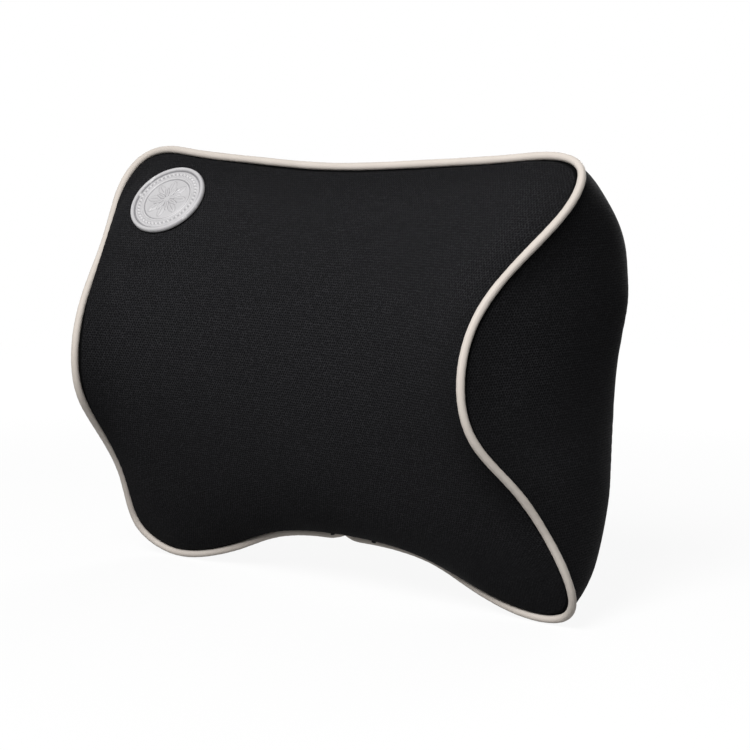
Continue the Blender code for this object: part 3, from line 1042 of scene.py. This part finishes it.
def cells(nodes, place, u, v):
    """Height of the knit's honeycomb at u, v in metres: low in the cells, high between."""
    a = 2 * math.pi / KNIT_PITCH
    u = nodes.maths("MULTIPLY_ADD", nodes.noise(place, 520.0, 1.0), KNIT_WOBBLE, u)
    v = nodes.maths("MULTIPLY_ADD", nodes.noise(place, 610.0, 1.0), KNIT_WOBBLE, v)
    first = nodes.maths("COSINE", nodes.maths("MULTIPLY", v, a))
    half_v = nodes.maths("MULTIPLY", v, a * 0.5)
    side_u = nodes.maths("MULTIPLY", u, a * math.sqrt(3) / 2)
    second = nodes.maths("COSINE", nodes.maths("ADD", side_u, half_v))
    third = nodes.maths("COSINE", nodes.maths("SUBTRACT", side_u, half_v))
    total = nodes.maths("ADD", nodes.maths("ADD", first, second), third)
    return nodes.spread(total, 1.6, -1.2)


def knit(name, by_map):
    """Black honeycomb knit, laid out by the map or else along the three axes."""
    nodes = Nodes(name)
    where = nodes.add("ShaderNodeTexCoord")
    place = where.outputs["Object"]
    if by_map:
        across = nodes.split(where.outputs["UV"])
        height = cells(nodes, place, across[0], across[1])
    else:
        facing = nodes.add("ShaderNodeNewGeometry").outputs["True Normal"]
        power = [nodes.maths("POWER", nodes.maths("ABSOLUTE", f), 6.0) for f in nodes.split(facing)]
        total = nodes.maths("ADD", nodes.maths("ADD", power[0], power[1]), power[2])
        x, y, z = nodes.split(place)
        parts = []
        for weight, (u, v) in zip(power, ((y, z), (x, z), (x, y))):
            parts.append(nodes.maths("MULTIPLY", weight, cells(nodes, place, u, v)))
        height = nodes.maths("ADD", nodes.maths("ADD", parts[0], parts[1]), parts[2])
        height = nodes.maths("DIVIDE", height, total)
    broad = nodes.noise(place, 38.0)
    fuzz = nodes.noise(place, 2600.0, 2.0)
    loops = nodes.noise(place, 1150.0, 1.0)
    yarn = nodes.mix(nodes.spread(broad, 0.3, 0.7), *KNIT_YARN)
    bright = nodes.mix(nodes.spread(loops, 0.38, 0.70), yarn, KNIT_BRIGHT)
    dark = nodes.mix(height, KNIT_HOLLOW, bright)
    lint = nodes.mix(nodes.spread(fuzz, 0.62, 0.80), dark, KNIT_LINT)
    # Painted shade by distance from the seam: a near-black line beside the piping, and the knit
    # darkened to three quarters over the last 28 mm
    gap = nodes.add("ShaderNodeAttribute", attribute_name="seam_gap").outputs["Fac"]
    line = nodes.spread(gap, *SEAM_SHADE_LINE)
    band = nodes.spread(gap, *SEAM_SHADE_BAND, 0.74, 1.0)
    seam_shaded = nodes.mix(nodes.maths("MULTIPLY", line, band), KNIT_SEAM_SHADE, lint)
    rough = nodes.spread(broad, 0.2, 0.8, 0.80, 0.90)
    fine = nodes.bump(fuzz, 0.00008, 0.5)
    normal = nodes.bump(height, 0.00016, 0.8, fine)
    return nodes.finish(seam_shaded, rough, normal, Specular_IOR_Level=0.02)


def woven_piping():
    nodes = Nodes("piping_weave")
    where = nodes.add("ShaderNodeTexCoord")
    u, v, _ = nodes.split(where.outputs["UV"])
    u = nodes.maths("MULTIPLY", u, 2 * math.pi / PIPING_PITCH)
    v = nodes.maths("MULTIPLY", v, 2 * math.pi / PIPING_PITCH)
    warp = nodes.maths("SINE", nodes.maths("ADD", u, v))
    weft = nodes.maths("SINE", nodes.maths("SUBTRACT", u, v))
    weave = nodes.spread(nodes.maths("MULTIPLY", warp, weft), -0.8, 0.8)
    broad = nodes.noise(where.outputs["Object"], 60.0)
    fuzz = nodes.noise(where.outputs["Object"], 3000.0, 2.0)
    base = nodes.mix(nodes.spread(broad, 0.3, 0.7), *PIPING_COVER)
    colour = nodes.mix(weave, PIPING_BETWEEN, base)
    rough = nodes.spread(fuzz, 0.3, 0.7, 0.58, 0.72)
    normal = nodes.bump(weave, 0.00005, 0.6, nodes.bump(fuzz, 0.00004, 0.4))
    return nodes.finish(colour, rough, normal, Specular_IOR_Level=0.25)


def moulded_badge():
    nodes = Nodes("badge_moulding")
    where = nodes.add("ShaderNodeTexCoord")
    place = where.outputs["Object"]
    grain = nodes.noise(place, 1300.0, 4.0)
    broad = nodes.noise(place, 140.0)
    pointy = nodes.add("ShaderNodeNewGeometry").outputs["Pointiness"]
    face = nodes.mix(nodes.spread(broad, 0.3, 0.7), *BADGE_FACE)
    # Painted shade in the hollows, where the surface is least pointy
    shaded = nodes.mix(nodes.spread(pointy, 0.492, 0.462), face, BADGE_CREVICE_SHADE)
    # Painted highlight on the raised edges and ridges, where the surface is most pointy
    highlighted = nodes.mix(nodes.spread(pointy, 0.515, 0.58), shaded, BADGE_EDGE_HIGHLIGHT)
    rough = nodes.spread(grain, 0.3, 0.7, 0.40, 0.55)
    normal = nodes.bump(grain, 0.00012, 0.7)
    return nodes.finish(highlighted, rough, normal, Specular_IOR_Level=0.5)


def elastic():
    nodes = Nodes("strap_webbing")
    where = nodes.add("ShaderNodeTexCoord")
    u, v, _ = nodes.split(where.outputs["UV"])
    ribs = nodes.maths("SINE", nodes.maths("MULTIPLY", v, 2 * math.pi / RIB_PITCH))
    picks = nodes.maths("SINE", nodes.maths("MULTIPLY", u, 2 * math.pi / PICK_PITCH))
    weave = nodes.spread(nodes.maths("MULTIPLY", ribs, picks), -0.8, 0.8)
    fuzz = nodes.noise(where.outputs["Object"], 2400.0, 2.0)
    broad = nodes.noise(where.outputs["Object"], 50.0)
    colour = nodes.mix(weave, STRAP_BETWEEN, nodes.mix(broad, *STRAP_YARN))
    rough = nodes.spread(fuzz, 0.3, 0.7, 0.68, 0.82)
    normal = nodes.bump(weave, 0.00014, 0.8, nodes.bump(fuzz, 0.00006, 0.4))
    return nodes.finish(colour, rough, normal, Specular_IOR_Level=0.12)


def thread(name, level):
    """Black sewing thread, at a level of brightness."""
    nodes = Nodes(name)
    place = nodes.add("ShaderNodeTexCoord").outputs["Object"]
    twist = nodes.noise(place, 3200.0)
    low = (0.030 * level, 0.030 * level, 0.033 * level, 1)
    high = (0.060 * level, 0.060 * level, 0.064 * level, 1)
    colour = nodes.mix(nodes.spread(twist, 0.3, 0.7), low, high)
    rough = nodes.spread(twist, 0.3, 0.7, 0.6, 0.75)
    return nodes.finish(colour, rough, nodes.bump(twist, 0.00005, 0.6), Specular_IOR_Level=0.1)


def foam():
    nodes = Nodes("foam_cells")
    place = nodes.add("ShaderNodeTexCoord").outputs["Object"]
    pores = nodes.add("ShaderNodeTexVoronoi")
    nodes.put(place, pores.inputs["Vector"])
    pores.inputs["Scale"].default_value = 1400.0
    depth = pores.outputs["Distance"]
    broad = nodes.noise(place, 30.0)
    colour = nodes.mix(nodes.spread(depth, 0.2, 0.7), FOAM_PORE, nodes.mix(broad, *FOAM_SKIN))
    rough = nodes.spread(broad, 0.2, 0.8, 0.85, 0.95)
    return nodes.finish(colour, rough, nodes.bump(depth, 0.0003, 0.7))


def dress(piece, material):
    piece.data.materials.clear()
    piece.data.materials.append(material)
    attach(piece, "root")


dress(front_cover, knit("front_knit", True))
dress(back_cover, knit("back_knit", False))
dress(piping, woven_piping())
dress(badge, moulded_badge())
dress(strap, elastic())
dress(stitches, thread("stitch_thread", 1.0))
dress(tacks, thread("tack_thread", 0.35))
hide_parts("cover_front")
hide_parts("cover_back")
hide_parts("piping")
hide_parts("badge")
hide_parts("strap")
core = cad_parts["foam_core"]
foam_material = foam()
if core.material_slots:
    core.material_slots[0].material = foam_material
else:
    core.data.materials.append(foam_material)


# Stage: pale floor, soft studio light, camera at the photograph's angle

WORLD_LEVEL = 0.11
FLOOR_COLOUR = (0.30, 0.30, 0.30, 1)
FLOOR_BELOW = 0.0006
FLOOR_NEAR, FLOOR_FAR = 0.35, 1.1       # where the floor begins to fade to white, and is white
GLOW_NEAR, SHARE_NEAR = 1.30, 0.70      # the near floor's glow, and the glow's share of it


def direct_view(tree):
    """1 for what the camera, a reflection or a see-through surface shows, 0 for light."""
    rays = tree.nodes.new("ShaderNodeLightPath")
    seen = rays.outputs["Is Camera Ray"]
    for kind in ("Is Glossy Ray", "Is Transmission Ray"):
        either = tree.nodes.new("ShaderNodeMath")
        either.operation = "MAXIMUM"
        tree.links.new(seen, either.inputs[0])
        tree.links.new(rays.outputs[kind], either.inputs[1])
        seen = either.outputs[0]
    return seen


scene = bpy.context.scene
scene.view_settings.view_transform = "Standard"
world = bpy.data.worlds.new("studio")
scene.world = world
world.use_nodes = True
tree = world.node_tree
tree.nodes.clear()
both = tree.nodes.new("ShaderNodeMixShader")
tree.links.new(direct_view(tree), both.inputs[0])
for socket, strength in ((1, WORLD_LEVEL), (2, 1.0)):
    background = tree.nodes.new("ShaderNodeBackground")
    background.inputs["Color"].default_value = (1.0, 1.0, 1.0, 1.0)
    background.inputs["Strength"].default_value = strength
    tree.links.new(background.outputs[0], both.inputs[socket])
output = tree.nodes.new("ShaderNodeOutputWorld")
tree.links.new(both.outputs[0], output.inputs["Surface"])


def make_floor():
    """A pale floor that keeps a faint shadow nearby and runs out into the white background."""
    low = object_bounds()[0].z - FLOOR_BELOW
    points = [(-9, -9, low), (9, -9, low), (9, 9, low), (-9, 9, low)]
    floor = mesh_object("floor", points, [(0, 1, 2, 3)])
    nodes = Nodes("pale_floor")
    place = nodes.add("ShaderNodeTexCoord").outputs["Object"]
    away = nodes.add("ShaderNodeVectorMath", operation="LENGTH")
    nodes.put(place, away.inputs[0])
    distance = away.outputs["Value"]
    nodes.finish(FLOOR_COLOUR, 0.9, Specular_IOR_Level=0.0)
    glow = nodes.add("ShaderNodeEmission")
    glow.inputs["Color"].default_value = (1, 1, 1, 1)
    nodes.put(nodes.spread(distance, FLOOR_NEAR, FLOOR_FAR, GLOW_NEAR, 1.0), glow.inputs["Strength"])
    white = nodes.spread(distance, FLOOR_NEAR, FLOOR_FAR, SHARE_NEAR, 1.0)
    blend = nodes.add("ShaderNodeMixShader")
    nodes.put(nodes.maths("MULTIPLY", direct_view(nodes.tree), white), blend.inputs[0])
    nodes.put(nodes.shader.outputs[0], blend.inputs[1])
    nodes.put(glow.outputs[0], blend.inputs[2])
    nodes.put(blend.outputs[0], nodes.tree.nodes["Material Output"].inputs["Surface"])
    floor.data.materials.append(nodes.material)


make_floor()


def lamp(name, place, size, power):
    """A round soft lamp that looks at the middle of the pillow."""
    data = bpy.data.lights.new(name, "AREA")
    data.shape = "DISK"
    data.size = size
    data.energy = power
    made = bpy.data.objects.new(name, data)
    made.location = place
    made.rotation_euler = (Vector(MIDDLE) - Vector(place)).to_track_quat("-Z", "Y").to_euler()
    scene.collection.objects.link(made)


MIDDLE = (0.0, -0.05, 0.02)
lamp("key", (0.44, -1.25, 1.08), 0.8, 30.0)
lamp("back_fill", (-0.45, 1.60, 0.45), 1.0, 19.0)

# The camera's place, fitted to the seam in the photograph: its angles, how far the seam's foot
# lies off the middle of its view, its distance and its lens in millimetres
TURN, PITCH, ROLL = math.radians(42.4), math.radians(6.51), math.radians(-0.13)
ACROSS, UP, DISTANCE, LENS = 0.018, -0.089, 1.1, 114.865
level = math.cos(PITCH)
forward = Vector((-math.sin(TURN) * level, math.cos(TURN) * level, -math.sin(PITCH)))
right = Vector((math.cos(TURN), math.sin(TURN), 0.0))
above = right.cross(forward)
rolled_right = right * math.cos(ROLL) + above * math.sin(ROLL)
rolled_up = above * math.cos(ROLL) - right * math.sin(ROLL)
camera_data = bpy.data.cameras.new("camera")
camera_data.sensor_width = 36.0
camera_data.lens = LENS
camera = bpy.data.objects.new("camera", camera_data)
turned = Matrix((rolled_right, rolled_up, -forward)).transposed()
place = -rolled_right * ACROSS - forward * DISTANCE - rolled_up * UP - Vector((0, 0, MOUNT_UP))
camera.matrix_world = Matrix.Translation(place) @ turned.to_4x4()
scene.collection.objects.link(camera)
scene.camera = camera
